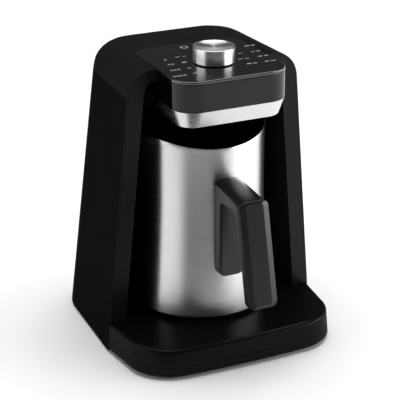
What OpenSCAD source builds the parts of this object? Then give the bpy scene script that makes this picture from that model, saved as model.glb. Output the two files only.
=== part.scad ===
// Electric Turkish coffee maker: a tapered arch body with an alcove, a heated base,
// a control head with a turn-and-push knob, and a lift-off steel pot.
// Millimetres, +Z up, the front is -Y. The origin is on the table, under the middle.

/* [Body] */
// Width across the sides, measured at table level
foot_w = 188.8; // [182:0.2:200]
// Width across the sides, if they ran on straight to the top
top_w = 145.4; // [138:0.2:152]
// Reach of the back behind the origin
body_back = 115.5; // [112:0.5:122]
// Distance that the back leans forward over the body height
back_rake = 34; // [24:1:36]
// Reach of the column faces in front of the origin, at the table
face_front = 20; // [16:0.5:24]
// Distance that the column faces lean forward over the body height
face_lean = 4.4; // [0:0.2:6]
// Distance that each side closes in towards the back
side_toe = 4; // [0:0.5:6]
// Radius of the rear corners at the table
rear_corner_r = 50; // [40:1:54]
// Radius of the rear corners at the top
rear_corner_top_r = 32; // [26:1:38]
// Radius of the shoulders
shoulder_r = 23.7; // [18:0.1:28]
// Radius of the top rear edge
back_edge_r = 16.5; // [10:0.5:22]
// Wall of the outer shell
wall = 2.6; // [2:0.1:3.2]
// Wall of the shell's front lip
lip_t = 1.2; // [0.9:0.1:1.6]
// Gap under the shell's lower edge
shell_lift = 2; // [1.5:0.1:2.4]
// Assembly gap between mouldings
seam = 0.25; // [0.15:0.05:0.4]

/* [Alcove] */
// Width of each column's front face
column_face = 14; // [12:0.5:16]
// Depth of the alcove behind the origin
alcove_back = 66; // [64:0.5:69]
// Depth of the alcove's ceiling below the arch's top
alcove_drop = 10; // [8:0.5:14]
// Radius of the alcove's rear corners
alcove_corner_r = 28; // [20:1:34]
// Radius of the alcove's upper corners
alcove_top_r = 10; // [6:0.5:14]
// Wall of the alcove liner
liner_wall = 2.2; // [1.8:0.1:2.8]

/* [Base] */
// Reach of the base in front of the origin
base_front = 90.4; // [84:0.2:96]
// Depth of the shallow curve across the base's front
base_bow = 1.4; // [0.5:0.1:3]
// Radius of the base's front corners
base_corner_r = 38.5; // [30:0.5:42]
// Distance that each side of the base closes in towards the front
base_toe = 3.5; // [0:0.5:5]
// Height of the base's top
base_top = 26; // [24.5:0.1:28]
// Height of the seam between tray and pan
base_split = 11; // [9:0.5:12]
// Height of the pan's underside
base_bottom = 3; // [2.5:0.1:3.5]
// Radius of the rim round the base's top
rim_r = 3; // [1.5:0.1:4]
// Wall of tray and pan
base_wall = 2.4; // [2:0.1:2.8]
// Radius of a rubber foot
foot_r = 10; // [7:0.5:11]
// Distance of the front feet in front of the origin
foot_front = 68; // [56:1:70]
// Distance of the rear feet behind the origin
foot_back = 78; // [66:1:82]
// Distance of each foot from the middle
foot_side = 65; // [52:1:66]
// Width of a slot in the vents
vent_w = 3; // [2:0.5:3.5]

/* [Heating] */
// Radius of the hot plate's top
plate_r = 45; // [40:0.5:48]
// Height of the hot plate above the base's top
plate_rise = 2.9; // [2.2:0.1:3.6]
// Thickness of the hot plate
plate_t = 3.2; // [2.5:0.1:4]
// Width of the silicone seal round the plate
seal_w = 2; // [1.5:0.1:3]
// Radius of the heating tube's bend
element_r = 30; // [24:1:34]
// Radius of the heating tube itself
tube_r = 3; // [2.2:0.1:3.2]

/* [Pot] */
// Distance of the pot's axis behind the origin
pot_y = 4.2; // [2:0.2:5]
// Radius of the pot at its foot
pot_foot_r = 57.7; // [56:0.1:58.4]
// Radius of the pot's straight neck
pot_neck_r = 53.8; // [51:0.1:55]
// Height of the pot's rim at the handle
pot_h = 145.6; // [136:0.2:150]
// Rise of the rim from the handle towards the sides
rim_rise = 6.8; // [2:0.2:8]
// Height above the foot at which the neck begins
neck_h = 98; // [80:1:110]
// Wall of the pot
pot_wall = 1; // [0.8:0.1:1.4]
// Radius of the rounding round the pot's foot
pot_foot_edge = 2; // [1:0.5:6]
// Reach of a pouring lip beyond the neck
lip_reach = 7; // [3:0.2:7.6]
// Dip of the rim at a pouring lip
lip_dip = 5; // [0:0.5:6]
// Half of the angle that a pouring lip spans
lip_angle = 26; // [16:1:34]
// Radius of the heat-spreading disc under the pot
disc_r = 49; // [46:0.5:50]
// Thickness of that disc
disc_t = 3; // [2:0.1:4]

/* [Handle] */
// Width of the grip
grip_w = 24.8; // [22:0.2:28]
// Reach of the cover's lower end in front of the origin
grip_reach = 115.8; // [110:0.2:120]
// Height of the cover's lower end above the table
grip_bottom = 63.9; // [56:0.1:72]
// Lean of the grip
grip_lean = 13.5; // [8:0.5:16]
// Depth of the grip behind its cover
grip_d = 9; // [8:0.5:13]
// Rise of the grip's lower end towards its back
grip_heel = 7.6; // [0:0.2:10]
// Depth of the bevelled cover
cover_d = 2.4; // [2:0.1:4]
// Width of the bevels along the cover's sides
bevel = 4.8; // [3:0.1:6]
// Height of the bevels at the cover's ends
bevel_end = 2.3; // [1:0.1:4]
// Radius of the grip's corners, seen from the front
grip_corner_r = 5; // [2:0.5:7]
// Depth of the arm's outer end below the pot's rim
arm_drop = 27.7; // [24:0.1:34]
// Height of the arm at its outer end
arm_h = 11; // [9:0.5:14]
// Rise of the arm's top towards the pot
arm_rise = 3; // [0:0.2:5]
// Width of the pad on the pot
pad_w = 22.8; // [20:0.2:26]
// Thickness of the pad
pad_t = 10; // [5:0.5:12]
// Height of the pad's lower end above the table
pad_bottom = 68; // [60:1:76]
// Radius of the pad's lower corners
pad_corner_r = 6; // [2:0.5:9]

/* [Head] */
// Width of the control head
head_w = 97; // [90:0.5:99]
// Reach of the head in front of the origin
head_front = 66.3; // [60:0.1:72]
// Depth of the head behind the origin
head_back = 60; // [54:0.5:62]
// Radius of the head's front corners
head_corner_r = 19; // [14:0.5:24]
// Radius of the head's rear corners
head_rear_r = 6; // [4:0.5:10]
// Gap between the pot's highest rim and the head
head_gap = 19.3; // [16:0.1:24]
// Height of the trim band
trim_h = 13.5; // [11:0.1:16]
// Height of the arch's top above the trim band
arch_rise = 25.8; // [22:0.1:30]
// Distance that the trim band closes in towards its lower edge
trim_taper = 4.6; // [2:0.1:6]
// Thickness of the trim band
trim_t = 1.3; // [1:0.1:1.6]
// Thickness of the glossy fascia
fascia_t = 1.8; // [1.4:0.1:2.2]
// Depth of the touch panel behind the origin
panel_back = 33; // [28:0.5:40]
// Radius of the touch panel's rear corners
panel_rear_r = 15; // [8:0.5:20]
// Thickness of the touch panel
panel_t = 2.5; // [2:0.1:3]
// Depth of the touch panel below the arch's top
panel_drop = 1; // [0.6:0.1:1.6]
// Gap round the touch panel
panel_gap = 0.6; // [0.4:0.1:1]
// Width of the bevel round the panel's recess
recess_bevel = 2.6; // [1:0.1:3]
// Radius of the sensor window in the underside
lens_r = 5; // [4:0.5:7]

/* [Knob] */
// Radius of the knob
knob_r = 16.7; // [13:0.1:19]
// Height of the knob
knob_h = 12.3; // [9:0.1:15]
// Distance of the knob's axis in front of the origin
knob_front = 23.7; // [20:0.1:26]
// Gap between the knob and the touch panel
knob_gap = 0.8; // [0.7:0.05:1.2]
// Travel of the knob when it is pushed
knob_travel = 0.5; // [0.3:0.05:0.6]
// Wall of the knob's aluminium cap
knob_wall = 1.5; // [1:0.1:2]
// Depth of the dish in the knob's top
knob_dish = 0.6; // [0.2:0.1:1]
// Radius of the encoder's shaft
shaft_r = 3; // [2.5:0.1:3.2]
// Running clearance of the shaft, at the radius
run = 0.05; // [0.03:0.01:0.08]

/* [Electronics] */
// Thickness of the circuit boards
board_t = 1.6; // [1:0.2:2]
// Width of the power board
power_w = 52; // [46:1:54]
// Height of the power board
power_h = 105; // [90:1:115]
// Height of the power board's lower edge above the table
power_z = 38; // [34:1:44]
// Length of the pegs that carry the power board
peg_l = 7; // [5:0.5:8]
// Gap between the control board and the head's inner walls
board_gap = 1.8; // [1:0.1:4]
// Depth of the control board behind the origin
control_back = 10; // [4:1:14]
// Height of the encoder's body
encoder_h = 6.5; // [5.5:0.1:7.5]
// Radius of the mains cord's passage through its gland
cord_r = 3.5; // [3:0.1:4]
// Radius of a small screw's shank
screw_r = 1.5; // [1.2:0.1:1.8]

/* [Hidden] */
$fn = 64;
eps = 0.01;
over = 1;
foot_half = foot_w / 2;
top_half = top_w / 2;
plate_top = base_top + plate_rise;
plate_flange_r = plate_r + 5;
plate_flange_t = 2.2;
plate_bottom = plate_top - plate_t;
tray_top_under = base_top - base_wall;
tray_hole_r = plate_r + seal_w;
pot_lift = 0.1;
pot_z = plate_top + pot_lift;
trim_bottom = pot_z + pot_h + rim_rise + head_gap;
trim_top = trim_bottom + trim_h;
body_h = trim_top + arch_rise;
alcove_top = body_h - alcove_drop;
side_slope = (foot_half - top_half) / body_h;
back_slope = back_rake / body_h;
back_angle = atan(back_slope);
head_half = head_w / 2;
panel_top = body_h - panel_drop;
panel_under = panel_top - panel_t;
fascia_top = panel_under - seam;
housing_inset = fascia_t + seam;
housing_wall = 2.2;
housing_floor = trim_bottom + 5;
underside_t = 2.4;
underside_inset = trim_taper + trim_t + 2 * seam;
cavity_inset = trim_taper * (trim_top - housing_floor) / trim_h + trim_t + seam + housing_wall;
knob_z = panel_top + knob_gap;
control_z = panel_under - encoder_h - 5.2 - board_t;
encoder_z = control_z + board_t;
encoder_w = 12;
bush_l = 3.4;
bush_r = shaft_r + 1.5;
bush_top = encoder_z + encoder_h + bush_l;
plunger_r = 4.2;
plunger_t = 2;
plunger_z = encoder_z + 2;
tip_r = shaft_r / 2;
head_screw_r = 2 * screw_r;
power_y = alcove_back + liner_wall + peg_l;
component_y = power_y + board_t;
tower_side = 31;
tower_low = 46;
tower_high = 142;
screw_seat = 1.2;
cover_screw_l = 14;
cover_half = 37;
cover_low = 26;
cover_high = 160;
cover_corner = 8;
gland_r = cord_r + 1.8;
gland_z = base_split + gland_r + 0.3;
gland_flange = 1.4;
fit = 0.1;
gland_l = 14;
gland_stop = 9.1;
flange_top = tray_top_under - 0.8;
flange_low = flange_top - plate_flange_t;
plate_skirt = 3;
plate_edge = 0.8;
seal_bead = 0.7;
element_z = plate_bottom - tube_r - run;
terminal_z = 15.2;
terminal_turn = 5;
clamp_top = element_z - tube_r - run;
clamp_t = 1.6;
clamp_half = 7;
clamp_reach = plate_flange_r + 7;
clamp_screw_l = 7;
lead_r = 1.3;
lead_side = 9;
screw_head_up = 3;
head_room = 0.3;
base_screw_l = 14;
base_screw_front = 14;
base_screw_rear = 21;
base_screw_sides = [34, 30];
boss_r = 4;
clamp_skin = 0.8;
clamp_tab = 4;
lead_slot = 12;
pan_edge = 1.2;
vent_l = 50;
vent_count = 7;
foot_plug_r = 3;
foot_plug_grip = 2;
foot_edge = 1;
thermostat_r = 7;
thermostat_tag = [4, 5, 0.8];
board_screw_l = 7;
relay_size = [19, 15, 16];
relay_x = 4 - power_w / 2;
relay_z = power_z + power_h - 34;
core_size = [power_w * 0.42, 18, power_h * 0.25];
coil_size = [core_size[0] + 4, 10, core_size[2] - 8];
core_z = power_z + power_h * 0.23;
capacitor_r = 5;
capacitor_l = 16;
capacitor_pitch = 12;
capacitor_x = -power_w * 0.35;
terminal_size = [2 * lead_side + 14, 12, 12];
terminal_up = 3;
lead_port = [6, 10, 4];
ribbon_w = 16;
ribbon_t = 0.8;
ribbon_z = alcove_top + liner_wall + 2;
ribbon_front = 8;
ribbon_low = power_z + power_h - 14;
ribbon_room = 1;
control_inset = cavity_inset + board_gap;
control_half = head_half - control_inset;
control_front = head_front - control_inset;
post_inset = 6;
post_r = 3.5;
post_hole = 8;
tower_hole = 8;
underside_front = 24 - head_front;
underside_rear = head_back - 16;
underside_side = head_half * 0.54;
fascia_back = 30;
ledge_w = 7;
ledge_t = 2;
ledge_z = alcove_top + liner_wall + 0.1;
sensor_r = 4.5;
sensor_l = 14;
sensor_flange = [2.5, 1.6];
spring_r = 2.6;
spring_wall = 0.5;
spring_start = [22, -8];
spring_pitch = [12, 18];
buzzer_r = 6;
buzzer_h = 7;
buzzer_place = [18, 10];
control_screw_l = 8;
underside_screw_l = 9;
pot_steps = 56;
lip_depth = 26;
pot_bend_r = 4;
grip_top = pot_z + pot_h - arm_drop;
grip_l = (grip_top - grip_bottom) / cos(grip_lean);
bolt_r = 1.8;
bolt_z = grip_top - arm_h / 2;
bolt_seat = grip_y(bolt_z, cover_d) + 10;
grip_back_r = 4;
bracket_t = 1.4;
bracket_w = 18;
bracket_h = 12;
gap_r = 6;
arm_chamfer_w = 3.2;
arm_chamfer_h = 2.6;
arm_crown = 1;
knob_top_t = 2;
knob_edge = 0.7;
hub_lift = 0.6;
hub_wall = 1.5;
hub_rib = 1.2;
slot_half = 18;
slot_pitch = 7;
slot_count = 10;
slot_start = 34;

// ---- shared outlines ----

function arc_points(cx, cy, r, from, to, steps) =
  [for (i = [0:steps]) let (a = from + (to - from) * i / steps) [cx + r * cos(a), cy + r * sin(a)]];
function at_height(points, z) = [for (p = points) [p[0], p[1], z]];
function face_y(z) = -face_front - face_lean * z / body_h;
function column_angle() = atan(side_slope);

// half-width of the arch at a height: a leaning side, then the shoulder's arc
function arch_half(z, inset, top, r) =
  let (zc = top - r, lean = column_angle(), xc = foot_half - inset / cos(lean)
    - side_slope * zc - r / cos(lean), start = zc + r * sin(lean))
  z <= start ? foot_half - inset / cos(lean) - side_slope * z : xc + sqrt(max(0, r * r - (z - zc) ^ 2));
// reach of the back at a height: a raked wall, then the rear edge's arc
function arch_back(z, inset, top, r) =
  let (zc = top - r, base = body_back + back_slope * shell_lift - inset / cos(back_angle),
    yc = base - back_slope * zc - r / cos(back_angle), start = zc + r * sin(back_angle))
  z <= start ? base - back_slope * z : yc + sqrt(max(0, r * r - (z - zc) ^ 2));
function rear_radius(z, inset) =
  max(6, rear_corner_r + (rear_corner_top_r - rear_corner_r) * z / body_h - inset);
function round_back(half, toe, front, back, r, steps) = concat([[-half, front], [half, front]],
  arc_points(half - toe - r, back - r, r, 0, 90, steps),
  arc_points(r + toe - half, back - r, r, 90, 180, steps));
function arch_ring(z, inset, front) =
  let (side_r = shoulder_r - inset, edge_r = back_edge_r - inset, top = body_h - inset,
    half = arch_half(z, inset, top, side_r), back = arch_back(z, inset, top, edge_r),
    lost = foot_half - inset - side_slope * z - half)
  at_height(round_back(half, side_toe, front, back, rear_radius(z, inset + lost * 0.7), 9), z);
function shoulder_levels(inset) =
  let (r = shoulder_r - inset, top = body_h - inset, lean = column_angle())
  [for (i = [0:8]) top - r + r * sin(lean + (90 - lean) * i / 8)];

// front part of the base: toed-in sides, round corners and a shallow bow across the front
function base_front_points(z, inset, rim = 0) =
  let (lean = side_slope * (z - base_bottom) + inset + rim, r = base_corner_r - lean,
    half = foot_half - side_slope * base_bottom - lean, cx = half - base_toe - r,
    front = base_front - lean, cy = base_bow - front + r)
  concat([[-half, face_y(z) - seam - inset]], arc_points(-cx, cy, r, 180, 270, 8),
    [for (i = [-3:3]) let (x = cx * i / 4) [x, -front + base_bow * (x / cx) ^ 2]],
    arc_points(cx, cy, r, 270, 360, 8), [[half, face_y(z) - seam - inset]]);
// rear part of the base: it fills the shell's inside and runs a little way into the front part
function base_rear_points(z, inset) =
  let (gap = wall + seam + inset, half = arch_half(z, gap, body_h - gap, shoulder_r - gap),
    back = arch_back(z, gap, body_h - gap, back_edge_r - gap), r = rear_radius(z, gap),
    front = face_y(z) - seam - inset)
  concat([[half - 4, front - 6], [half, front + 1]], arc_points(half - side_toe - r, back - r, r, 0, 90, 7),
    arc_points(r + side_toe - half, back - r, r, 90, 180, 7), [[-half, front + 1], [4 - half, front - 6]]);
function rim_inset(z) = let (up = z - (base_top - rim_r))
  up <= 0 ? 0 : rim_r - sqrt(max(0, rim_r ^ 2 - up ^ 2));

// outline of the control head, inset by a distance
function head_points(inset, back = head_back, rear_r = head_rear_r) =
  let (half = head_half - inset, r = head_corner_r - inset, front = inset - head_front,
    rear = back - inset, q = max(1, rear_r - inset))
  concat(arc_points(r - half, front + r, r, 180, 270, 10), arc_points(half - r, front + r, r, 270, 360, 10),
    arc_points(half - q, rear - q, q, 0, 90, 5), arc_points(q - half, rear - q, q, 90, 180, 5));

// skins a stack of rings that all have the same number of points
module loft(rings) {
  n = len(rings[0]);
  m = len(rings);
  sides = [for (k = [0:m - 2], i = [0:n - 1]) let (j = (i + 1) % n)
    each [[k * n + i, (k + 1) * n + i, (k + 1) * n + j], [k * n + i, (k + 1) * n + j, k * n + j]]];
  first = [for (i = [0:n - 1]) i];
  last = [for (i = [n - 1:-1:0]) (m - 1) * n + i];
  polyhedron(points = [for (ring = rings) each ring], faces = concat([first], sides, [last]), convexity = 8);
}

module slab(points, low, high) {
  translate([0, 0, low]) linear_extrude(high - low) polygon(points);
}

// places its children on the raked back: z runs up the wall, y points out of it
module on_back() {
  translate([0, body_back, shell_lift]) rotate([back_angle, 0, 0]) children();
}

module rounded_plate(half, low, high, r, y0, y1) {
  rotate([90, 0, 0]) translate([0, 0, -y1]) linear_extrude(y1 - y0) polygon(concat(
    arc_points(half - r, high - r, r, 0, 90, 6), arc_points(r - half, high - r, r, 90, 180, 6),
    arc_points(r - half, low + r, r, 180, 270, 6), arc_points(half - r, low + r, r, 270, 360, 6)));
}

module pan_screw(length) {
  cylinder(r = screw_r, h = length);
  translate([0, 0, length]) difference() {
    cylinder(r = head_screw_r, h = screw_r);
    translate([0, 0, screw_r * 0.5]) for (a = [0, 90]) rotate(a)
      translate([-screw_r * 1.1, -screw_r * 0.2, 0]) cube([screw_r * 2.2, screw_r * 0.4, screw_r]);
  }
}

// ---- outer body ----

module arch_solid(inset, low, front_reach) {
  levels = concat([low, body_h * 0.5], shoulder_levels(inset));
  loft([for (z = levels) arch_ring(z, inset, face_y(z) - front_reach)]);
}

// the arch's front layer, open in front, down to a depth behind the column faces
module front_layer(inset, low, depth) {
  difference() {
    arch_solid(inset, low, over);
    translate([0, depth, 0]) arch_solid(inset - over, low - over, 0);
  }
}

module panel_recess() {
  top = head_points(-panel_gap - recess_bevel, panel_back, panel_rear_r);
  low = head_points(-panel_gap, panel_back, panel_rear_r);
  loft([at_height(low, body_h - wall - over), at_height(low, panel_top - seam),
    at_height(top, body_h + eps)]);
}

module body_shell() {
  color("#141414") difference() {
    arch_solid(0, shell_lift, 0);
    arch_solid(wall, shell_lift - over, over);
    front_layer(lip_t, base_top, liner_wall + seam);
    panel_recess();
    on_back() rounded_plate(cover_half + seam, cover_low - seam, cover_high + seam,
      cover_corner + seam, -wall - over * 2, over);
    translate([0, body_back + over, gland_z]) rotate([90, 0, 0])
      cylinder(r = gland_r + fit, h = wall + 12);
  }
}

// ---- alcove ----

function alcove_half(z) = foot_half - column_face / cos(column_angle()) - side_slope * z;
function alcove_ring(z, grow, front) =
  let (r = alcove_top_r + grow, top = alcove_top + grow, zc = top - r, rise = max(0, z - zc),
    lost = rise > 0 ? r - sqrt(max(0, r * r - rise * rise)) : 0)
  at_height(round_back(alcove_half(z) + grow - lost, side_toe, front, alcove_back + grow - lost * 0.5,
    alcove_corner_r + grow - lost, 7), z);
module alcove_solid(grow, low, front_reach) {
  r = alcove_top_r + grow;
  levels = concat([low], [for (i = [0:6]) alcove_top + grow - r + r * sin(90 * i / 6)]);
  loft([for (z = levels) alcove_ring(z, grow, face_y(z) - front_reach)]);
}

module peg_places() {
  for (x = [-1, 1], z = [power_z + post_inset, power_z + power_h - post_inset])
    translate([x * (power_w / 2 - post_inset), 0, z]) children();
}

module tower_places() {
  for (x = [-1, 1], z = [tower_low, tower_high]) translate([x * tower_side, 0, z]) children();
}

module niche_liner() {
  low = base_top + seam;
  color("#101010") difference() {
    union() {
      intersection() {
        arch_solid(lip_t + seam, low, 0);
        front_layer(lip_t + seam - over, low - over, liner_wall);
      }
      intersection() {
        alcove_solid(liner_wall, low, -eps);
        arch_solid(wall + seam, low, 0);
      }
      peg_places() translate([0, alcove_back, 0]) rotate([-90, 0, 0])
        cylinder(r = head_screw_r, h = liner_wall + peg_l);
      difference() {
        tower_places() translate([0, alcove_back, 0]) rotate([-90, 0, 0])
          cylinder(r = post_r, h = body_back - alcove_back);
        on_back() translate([-top_half, -wall - seam, -over]) cube([top_w, body_back, body_h]);
      }
    }
    alcove_solid(0, low - over, over);
    slab(head_points(-seam), alcove_top - alcove_top_r, body_h);
    peg_places() translate([0, power_y + eps, 0]) rotate([90, 0, 0]) cylinder(r = screw_r, h = peg_l - over);
    tower_places() translate([0, body_back, 0]) rotate([90, 0, 0])
      cylinder(r = screw_r, h = body_back - alcove_back - tower_hole);
  }
}

// ---- rear cover ----

module rear_cover() {
  color("#171717") difference() {
    on_back() rounded_plate(cover_half, cover_low, cover_high, cover_corner, -wall, 0);
    on_back() for (i = [0:slot_count - 1]) let (z = cover_low + slot_start + i * slot_pitch)
      rounded_plate(slot_half, z, z + vent_w, vent_w / 2, -wall - over, over);
    tower_places() translate([0, body_back, 0]) rotate([90, 0, 0])
      cylinder(r = screw_r + 2 * fit, h = body_back / 2);
    for (z = [tower_low, tower_high], x = [-1, 1]) translate([x * tower_side, screw_seat_y(z), z])
      rotate([-90, 0, 0]) cylinder(r = head_screw_r + head_room, h = tower_hole);
  }
}

// a screw head's seat in the raked cover, at a height
function screw_seat_y(z) = arch_back(z, 0, body_h, back_edge_r) - screw_seat;

module rear_screws() {
  color("silver") for (x = [-1, 1], z = [tower_low, tower_high])
    translate([x * tower_side, screw_seat_y(z) - cover_screw_l, z])
      rotate([-90, 0, 0]) pan_screw(cover_screw_l);
}

// ---- base ----

// the base between levels, inset by a wall, with its front rim drawn in by a distance at each level
module base_form(levels, rims, inset) {
  loft([for (i = [0:len(levels) - 1]) at_height(base_front_points(levels[i], inset, rims[i]), levels[i])]);
  loft([for (z = [levels[0], levels[len(levels) - 1]]) at_height(base_rear_points(z, inset), z)]);
}

module base_screw_places() {
  for (x = [-1, 1]) {
    translate([x * base_screw_sides[0], base_screw_front - base_front, 0]) children();
    translate([x * base_screw_sides[1], body_back - base_screw_rear, 0]) children();
  }
}

module foot_places() {
  for (x = [-1, 1], y = [-foot_front, foot_back]) translate([x * foot_side, y, 0]) children();
}

module clamp_places() {
  for (x = [-1, 1]) translate([x * clamp_reach, pot_y, 0]) children();
}

module base_tray() {
  levels = concat([base_split, base_top - rim_r], [for (i = [1:5]) base_top - rim_r + rim_r * sin(18 * i)]);
  color("#161616") difference() {
    union() {
      difference() {
        base_form(levels, [for (z = levels) rim_inset(z)], 0);
        base_form([base_split - over, tray_top_under], [0, 0], base_wall);
      }
      base_screw_places() translate([0, 0, base_split])
        cylinder(r = boss_r, h = base_top - base_split - eps);
      clamp_places() translate([0, 0, clamp_top + fit])
        cylinder(r = boss_r, h = base_top - clamp_top - base_wall / 2);
    }
    translate([0, pot_y, tray_top_under - over]) cylinder(r = tray_hole_r, h = base_wall + 2 * over);
    translate([-lead_side - lead_slot / 2, component_y, tray_top_under - over])
      cube([2 * lead_side + lead_slot, lead_slot, base_wall + 2 * over]);
    base_screw_places() translate([0, 0, base_split - over]) cylinder(r = screw_r, h = 10);
    clamp_places() cylinder(r = screw_r, h = base_top - clamp_skin);
    translate([0, body_back, gland_z]) rotate([90, 0, 0]) cylinder(r = gland_r + fit, h = gland_l + 6);
  }
}

module base_pan() {
  color("#121212") difference() {
    union() {
      difference() {
        base_form([base_bottom, base_bottom + pan_edge, base_split - seam], [pan_edge, 0, 0], 0);
        base_form([base_bottom + base_wall, base_split + over], [0, 0], base_wall);
      }
      base_screw_places() translate([0, 0, base_bottom + eps])
        cylinder(r = boss_r + 0.5, h = base_split - base_bottom - seam);
    }
    base_screw_places() cylinder(r = screw_r + fit, h = base_split + over);
    base_screw_places() cylinder(r = head_screw_r + head_room, h = base_bottom + screw_head_up);
    foot_places() cylinder(r = foot_plug_r + run, h = base_split);
    for (i = [0:vent_count - 1]) translate([(i - (vent_count - 1) / 2) * 3 * vent_w - vent_w / 2,
      pot_y - vent_l / 2, 0]) cube([vent_w, vent_l, base_split]);
  }
}

module base_screws() {
  color("silver") base_screw_places() translate([0, 0, base_bottom + screw_head_up + base_screw_l])
    rotate([180, 0, 0]) pan_screw(base_screw_l);
}

module feet() {
  seat = base_bottom - run;
  plug_top = base_bottom + base_wall + foot_plug_grip;
  color("#0c0c0c") foot_places() rotate_extrude() polygon([[0, 0],
    [foot_r - foot_edge, 0], [foot_r, foot_edge], [foot_r, seat], [foot_plug_r, seat],
    [foot_plug_r, plug_top], [0, plug_top]]);
}

// ---- heating ----

module hot_plate() {
  color("#202020") translate([0, pot_y, 0]) rotate_extrude($fn = 96) polygon([[0, plate_bottom],
    [plate_r - plate_skirt, plate_bottom], [plate_r - plate_skirt, flange_low],
    [plate_flange_r, flange_low], [plate_flange_r, flange_top], [plate_r, flange_top],
    [plate_r, plate_top - plate_edge], [plate_r - plate_edge, plate_top], [0, plate_top]]);
}

module plate_seal() {
  inner = plate_r + run;
  outer = tray_hole_r - run;
  color("#2a2a2a") translate([0, pot_y, 0]) rotate_extrude($fn = 96) polygon([[inner, flange_top + run],
    [plate_flange_r, flange_top + run], [plate_flange_r, tray_top_under - run],
    [outer, tray_top_under - run],
    [outer, base_top + run], [outer + 1.2, base_top + run], [outer + 0.8, base_top + seal_bead],
    [inner, base_top + seal_bead]]);
}

module heating_element() {
  color("#5a5650") translate([0, pot_y, element_z]) {
    rotate(120) rotate_extrude(angle = 300) translate([element_r, 0]) circle(r = tube_r, $fn = 32);
    for (a = [60 - terminal_turn, 120 + terminal_turn]) rotate(a)
      translate([element_r, 0, terminal_z - element_z])
        cylinder(r = tube_r * 0.5, h = element_z - terminal_z);
  }
}

module element_clamp() {
  color("silver") difference() {
    union() {
      translate([-clamp_reach - clamp_half, pot_y - clamp_half, clamp_top - clamp_t])
        cube([2 * (clamp_reach + clamp_half), 2 * clamp_half, clamp_t]);
      for (x = [-1, 1])
        translate([x * (plate_flange_r - 3) - clamp_tab / 2, pot_y - clamp_half, clamp_top - eps])
          cube([clamp_tab, 2 * clamp_half, flange_low - clamp_top - run]);
    }
    clamp_places() cylinder(r = screw_r + fit, h = base_top);
  }
}

module clamp_screws() {
  color("silver") clamp_places() translate([0, 0, clamp_top - clamp_t + clamp_screw_l])
    rotate([180, 0, 0]) pan_screw(clamp_screw_l);
}

module thermostat() {
  color("#c8c0a8") translate([0, pot_y, clamp_top + run]) {
    cylinder(r = thermostat_r, h = plate_bottom - clamp_top - 2 * run);
    for (y = [-1, 1]) translate([0, y * (thermostat_r + 1.5), 1.9]) cube(thermostat_tag, center = true);
  }
}

// ---- power electronics, behind the alcove ----

module power_board() {
  color("#2f5d34") difference() {
    translate([-power_w / 2, power_y, power_z]) cube([power_w, board_t, power_h]);
    peg_places() translate([0, power_y - over, 0]) rotate([-90, 0, 0])
      cylinder(r = screw_r + fit, h = board_t + 2 * over);
  }
}

module board_screws() {
  color("silver") peg_places() translate([0, component_y - board_screw_l, 0])
    rotate([-90, 0, 0]) pan_screw(board_screw_l);
}

module relay() {
  color("#20242c") translate([relay_x, component_y, relay_z]) cube(relay_size);
}

module transformer() {
  color("#a08a50") translate([0, component_y, core_z]) {
    cube(core_size);
    translate((core_size - coil_size) / 2) cube(coil_size);
  }
}

module capacitors() {
  color("#303a50") for (i = [0:2]) translate([capacitor_x, component_y, core_z + 2 + i * capacitor_pitch])
    rotate([-90, 0, 0]) cylinder(r = capacitor_r, h = capacitor_l);
}

module terminal_block() {
  color("#3a6a48") difference() {
    translate([-terminal_size[0] / 2, component_y, power_z + terminal_up]) cube(terminal_size);
    for (i = [-1:1])
      translate([i * lead_side - lead_port[0] / 2, component_y + 3, power_z + 8]) cube(lead_port);
  }
}

// a round lead through a list of points
module lead_run(points, r) {
  for (i = [0:len(points) - 2]) let (d = points[i + 1] - points[i])
    translate(points[i]) rotate([0, acos(d[2] / norm(d)), atan2(d[1], d[0])])
      cylinder(r = r, h = norm(d), $fn = 24);
  for (p = points) translate(p) sphere(r = r, $fn = 24);
}

module heater_leads() {
  reach = element_r * sin(60 - terminal_turn);
  side = element_r * cos(60 - terminal_turn);
  low = terminal_z - lead_r - run;
  high = power_z + terminal_up - lead_r - run;
  y = component_y + terminal_size[1] / 2;
  color("#b03028") for (x = [-1, 1]) lead_run([[x * side, pot_y + reach, low], [x * side, y, low],
    [x * lead_side, y, low], [x * lead_side, y, high]], lead_r);
}

module ribbon_cable() {
  y = alcove_back + liner_wall + 2;
  color("#8a8a90") {
    translate([-ribbon_w / 2, y, ribbon_low]) cube([ribbon_w, ribbon_t, ribbon_z - ribbon_low]);
    translate([-ribbon_w / 2, y, ribbon_low]) cube([ribbon_w, power_y - y - run, ribbon_t]);
    translate([-ribbon_w / 2, ribbon_front, ribbon_z - ribbon_t])
      cube([ribbon_w, y + ribbon_t - ribbon_front, ribbon_t]);
    translate([-ribbon_w / 2, ribbon_front, encoder_z + run])
      cube([ribbon_w, ribbon_t, ribbon_z - encoder_z - run]);
  }
}

module cord_gland() {
  color("#0e0e0e") translate([0, body_back, gland_z]) rotate([90, 0, 0]) difference() {
    union() {
      cylinder(r = gland_r, h = gland_l);
      translate([0, 0, gland_stop]) cylinder(r = gland_r + gland_flange, h = gland_l - gland_stop);
    }
    translate([0, 0, -over]) cylinder(r = cord_r, h = gland_l + 2 * over);
  }
}

// ---- control head ----

function trim_inset(z) = trim_taper * (trim_top - z) / (trim_top - trim_bottom);

module post_places() {
  for (x = [-1, 1], y = [2 * post_inset - control_front, control_back - post_inset])
    translate([x * (control_half - post_inset), y, 0]) children();
}

module underside_screw_places() {
  for (x = [-1, 1], y = [underside_front, underside_rear]) translate([x * underside_side, y, 0]) children();
}

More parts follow.
